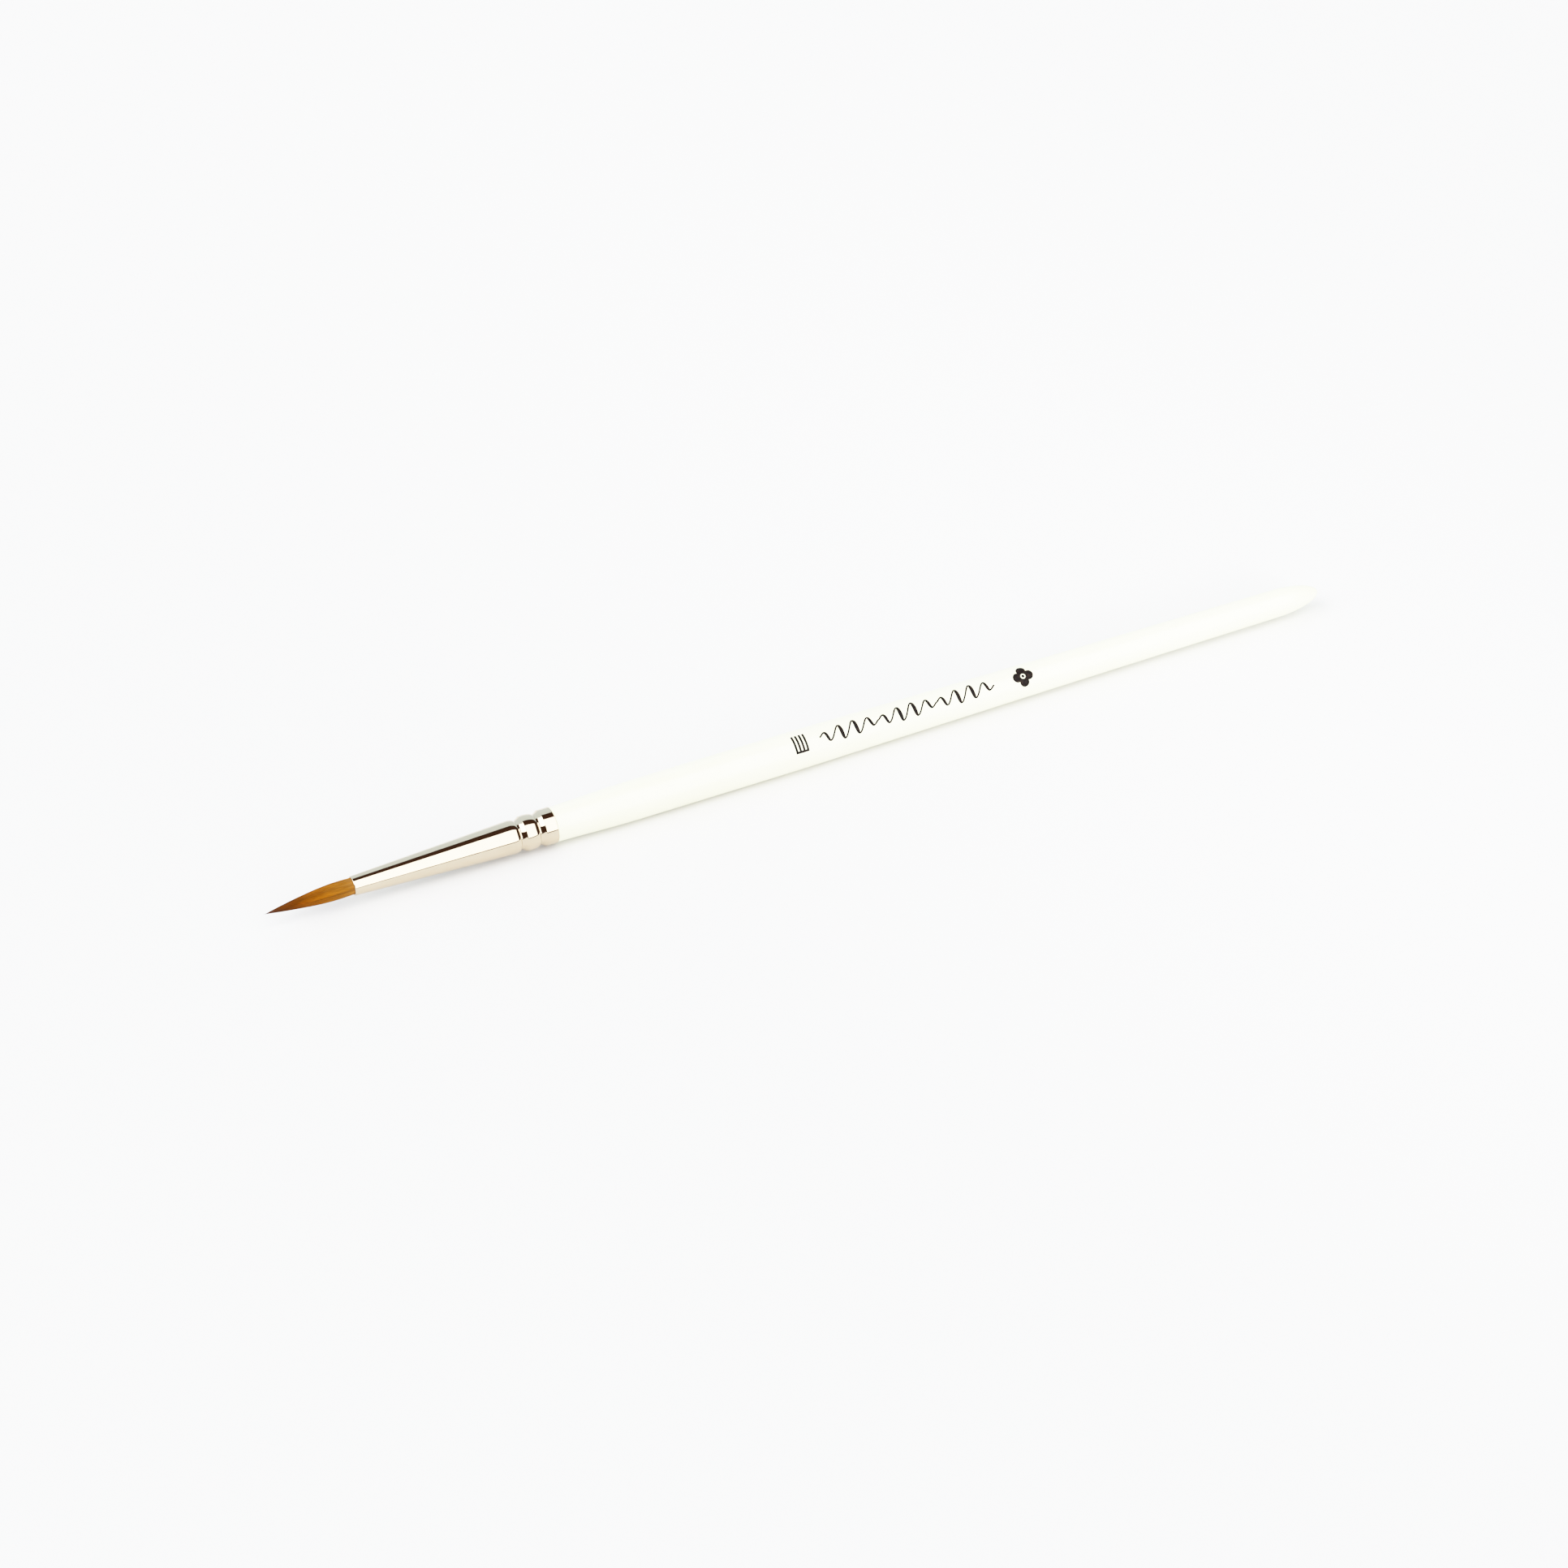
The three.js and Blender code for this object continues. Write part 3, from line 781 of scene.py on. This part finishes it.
def glue_material(name, deep, pale, roughness):
    """A set adhesive: clear and amber, with small bubbles and thicker, darker places."""
    material, tree, shader = new_material(name)
    cloud = noise(tree, object_coords(tree), scale=1.2)
    cells = {"Vector": object_coords(tree), "Scale": 3.0}
    bubbles = add_node(tree, "ShaderNodeTexVoronoi", cells).outputs["Distance"]
    colour = ramp(tree, cloud, (0.3, deep), (0.7, pale))
    feed(tree, shader, Base_Color=colour, Roughness=roughness, Transmission_Weight=0.3, IOR=1.5)
    bump(tree, shader, bubbles, distance_mm=0.02, strength=0.3)
    return material


def thread_material():
    """Cotton thread: twisted plies with a fuzzy, matt surface."""
    material, tree, shader = new_material("cotton_thread")
    wave = {"Vector": object_coords(tree), "Scale": 6.0, "Distortion": 1.5}
    twist = add_node(tree, "ShaderNodeTexWave", wave).outputs["Fac"]
    colour = ramp(tree, twist, (0.2, (0.55, 0.48, 0.37)), (0.8, (0.74, 0.68, 0.57)))
    feed(tree, shader, Base_Color=colour, Roughness=0.9, Sheen_Weight=0.3)
    bump(tree, shader, twist, distance_mm=0.02, strength=0.7)
    return material


def dress_cad_nodes():
    """Materials for the CAD nodes that stay: all of them sit inside the ferrule or under the lacquer."""
    materials = {
        "handle_core": birch_material(),
        "tenon_adhesive": glue_material("tenon_glue", (0.45, 0.22, 0.05), (0.60, 0.33, 0.09), 0.35),
        "root_resin": glue_material("epoxy_resin", (0.26, 0.11, 0.02), (0.42, 0.2, 0.05), 0.15),
        "binding_thread": thread_material(),
    }
    for name, material in materials.items():
        node = frame["nodes"][name]
        node.data.materials.clear()
        node.data.materials.append(material)


# ---- Stage ----

# The table is level and the brush leans on it with its belly and its butt, so in the brush's own frame
# the table rises towards the butt.
FLOOR_HALF_M = 2.5
FLOOR_COLOUR = (0.765, 0.763, 0.76)
FLOOR_SHADE = 0.997
CONTACT_GAP = 1.0

CAMERA_AZIMUTH_DEG = -25.3
CAMERA_ELEVATION_DEG = 39.5
CAMERA_ROLL_DEG = -0.41
CAMERA_DISTANCE = 685.0
CAMERA_FIELD_DEG = 20.0
CAMERA_AIM_X = -6.45
CAMERA_SHIFT = (1.272, -4.254)
CAMERA_SENSOR = 36.0
CAMERA_CLIP_M = (0.01, 20.0)

# The studio, as light from directions. Across is the direction's share along the brush, from -1 at the
# tip's side to 1 at the butt's side. Round is the angle about the brush, in degrees, from the horizon in
# front (0) over the top (90) to the horizon behind (180).
STUDIO_DARK = (0.027, 0.0125, 0.0075)
STUDIO_LIGHTS = (
    # The light box in front.
    {"colour": (2.6, 2.6, 2.6), "across": (-0.1, 0.6), "round": (5.0, 87.0)},
    # The light box above, at the tip's side.
    {"colour": (3.6, 3.6, 3.6), "across": (-1.5, -0.33), "round": (54.0, 158.0)},
    # The dimmer backdrop behind.
    {"colour": (0.60, 0.73, 0.82), "across": (-1.5, 1.5), "round": (124.0, 190.0)},
)
STUDIO_EDGE = {"across": 0.02, "round": 0.4}
BACKGROUND = (1.0, 1.0, 1.0)

# The fill, a soft spot light on the rear of the handle.
FILL_PLACE = (140.0, -420.0, 150.0)
FILL_AIM_X = 70.0
FILL_CONE_DEG = 22.0
FILL_RADIUS = 60.0
FILL_WATTS = 3.0

# The camera's soft shoulder: brightness x comes out as 1 - exp(-FILM_GAIN x).
# The curve's points lie at the stops, as shares of FILM_WHITE.
FILM_GAIN = 3.1
FILM_WHITE = 2.0
FILM_STOPS = (0.02, 0.05, 0.1, 0.18, 0.3, 0.45, 0.65)
COMBINED_CURVE = 3


def floor_tilt():
    """Where the handle's belly ends, and how steeply the table rises from there to the nose."""
    contact_x = RIM_X + BELLY_END
    behind = [point for point in HANDLE_OUTLINE if point[0] > contact_x + CONTACT_GAP]
    slopes = [(BELLY_RADIUS - radius) / (x - contact_x) for x, radius in behind]
    return contact_x, math.atan(min(slopes))


def build_floor():
    """A pale table, seen from above only, so that it never hides the brush from below."""
    contact_x, tilt = floor_tilt()
    mesh = bpy.data.meshes.new("table")
    corners = [(-1, -1), (1, -1), (1, 1), (-1, 1)]
    points = [(FLOOR_HALF_M * a, FLOOR_HALF_M * b, 0.0) for a, b in corners]
    mesh.from_pydata(points, [], [(0, 1, 2, 3)])
    table = bpy.data.objects.new("table", mesh)
    bpy.context.scene.collection.objects.link(table)
    table.location = (contact_x * MM, 0.0, (AXIS_Z - BELLY_RADIUS) * MM)
    table.rotation_euler = (0.0, -tilt, 0.0)
    material, tree, shader = new_material("table_card")
    paper = noise(tree, object_coords(tree), scale=0.02)
    shaded = tuple(c * FLOOR_SHADE for c in FLOOR_COLOUR)
    colour = ramp(tree, paper, (0.3, FLOOR_COLOUR), (0.7, shaded))
    feed(tree, shader, Base_Color=colour, Roughness=0.9, Specular_IOR_Level=0.0)
    below = add_node(tree, "ShaderNodeNewGeometry").outputs["Backfacing"]
    clear = add_node(tree, "ShaderNodeBsdfTransparent").outputs[0]
    one_sided = add_node(tree, "ShaderNodeMixShader", {0: below, 1: shader.outputs[0], 2: clear})
    tree.links.new(one_sided.outputs[0], tree.nodes["Material Output"].inputs["Surface"])
    mesh.materials.append(material)


def window(tree, value, low, high, edge):
    """1 where value lies between low and high, with soft edges."""
    rise = {"Value": value, "From Min": low - edge, "From Max": low + edge}
    fall = {"Value": value, "From Min": high - edge, "From Max": high + edge, "To Min": 1.0, "To Max": 0.0}
    up = add_node(tree, "ShaderNodeMapRange", rise, interpolation_type="SMOOTHSTEP").outputs[0]
    down = add_node(tree, "ShaderNodeMapRange", fall, interpolation_type="SMOOTHSTEP").outputs[0]
    return maths(tree, "MULTIPLY", up, down)


def build_studio():
    """The lights, as a world whose brightness depends on direction, plain white to the camera."""
    world = bpy.data.worlds.new("studio")
    world.use_nodes = True
    bpy.context.scene.world = world
    tree = world.node_tree
    direction = add_node(tree, "ShaderNodeTexCoord").outputs["Generated"]
    parts = add_node(tree, "ShaderNodeSeparateXYZ", {0: direction})
    across, back, up = parts.outputs
    front = maths(tree, "MULTIPLY", back, -1.0)
    turn = maths(tree, "MULTIPLY", maths(tree, "ARCTAN2", up, front), 180 / math.pi)
    colour = (*STUDIO_DARK, 1.0)
    for light in STUDIO_LIGHTS:
        here = maths(
            tree, "MULTIPLY",
            window(tree, across, *light["across"], STUDIO_EDGE["across"]),
            window(tree, turn, *light["round"], STUDIO_EDGE["round"]),
        )
        colour = mix_colour(tree, "MIX", colour, (*light["colour"], 1.0), here)
    below = maths(tree, "LESS_THAN", up, 0.0)
    colour = mix_colour(tree, "MIX", colour, (*BACKGROUND, 1.0), below)
    seen = add_node(tree, "ShaderNodeLightPath").outputs["Is Camera Ray"]
    colour = mix_colour(tree, "MIX", colour, (*BACKGROUND, 1.0), seen)
    tree.links.new(colour, tree.nodes["Background"].inputs["Color"])


def build_fill():
    """A soft low spot on the rear of the handle, unseen in reflections. It thins the shadow there."""
    data = bpy.data.lights.new("fill", "SPOT")
    data.energy = FILL_WATTS
    data.spot_size = math.radians(FILL_CONE_DEG)
    data.spot_blend = 1.0
    data.shadow_soft_size = FILL_RADIUS * MM
    fill = bpy.data.objects.new("fill", data)
    bpy.context.scene.collection.objects.link(fill)
    fill.location = Vector(FILL_PLACE) * MM
    aim = Vector((FILL_AIM_X, 0.0, AXIS_Z))
    fill.rotation_mode = "QUATERNION"
    fill.rotation_quaternion = (aim - Vector(FILL_PLACE)).to_track_quat("-Z", "Y")
    fill.visible_glossy = False
    fill.visible_camera = False


def build_camera():
    """The photo's viewing angle, from a long lens."""
    data = bpy.data.cameras.new("camera")
    data.sensor_width = CAMERA_SENSOR
    data.lens = data.sensor_width / 2 / math.tan(math.radians(CAMERA_FIELD_DEG / 2))
    data.clip_start, data.clip_end = CAMERA_CLIP_M
    camera = bpy.data.objects.new("camera", data)
    bpy.context.scene.collection.objects.link(camera)
    azimuth, elevation = math.radians(CAMERA_AZIMUTH_DEG), math.radians(CAMERA_ELEVATION_DEG)
    level = math.cos(elevation)
    back = Vector((math.sin(azimuth) * level, -math.cos(azimuth) * level, math.sin(elevation)))
    right = Vector((math.cos(azimuth), math.sin(azimuth), 0.0))
    aim = Vector((CAMERA_AIM_X, 0.0, AXIS_Z))
    aim += right * CAMERA_SHIFT[0] + back.cross(right) * CAMERA_SHIFT[1]
    camera.location = (aim + back * CAMERA_DISTANCE) * MM
    camera.rotation_mode = "QUATERNION"
    roll = Quaternion((0.0, 0.0, 1.0), math.radians(CAMERA_ROLL_DEG))
    camera.rotation_quaternion = (-back).to_track_quat("-Z", "Y") @ roll
    bpy.context.scene.camera = camera


def set_film():
    """A photograph's tone: bright tones crowd together below white."""
    settings = bpy.context.scene.view_settings
    settings.view_transform = "Standard"
    settings.use_curve_mapping = True
    mapping = settings.curve_mapping
    mapping.white_level = (FILM_WHITE,) * 3
    curve = mapping.curves[COMBINED_CURVE]
    for place in FILM_STOPS:
        curve.points.new(place, 1 - math.exp(-FILM_GAIN * FILM_WHITE * place))
    mapping.update()


# ---- The scene ----

build_handle()
build_ferrule()
build_hair()
build_bundle()
build_size_mark()
build_flourish()
build_emblem()
dress_cad_nodes()
build_floor()
build_studio()
build_fill()
build_camera()
set_film()
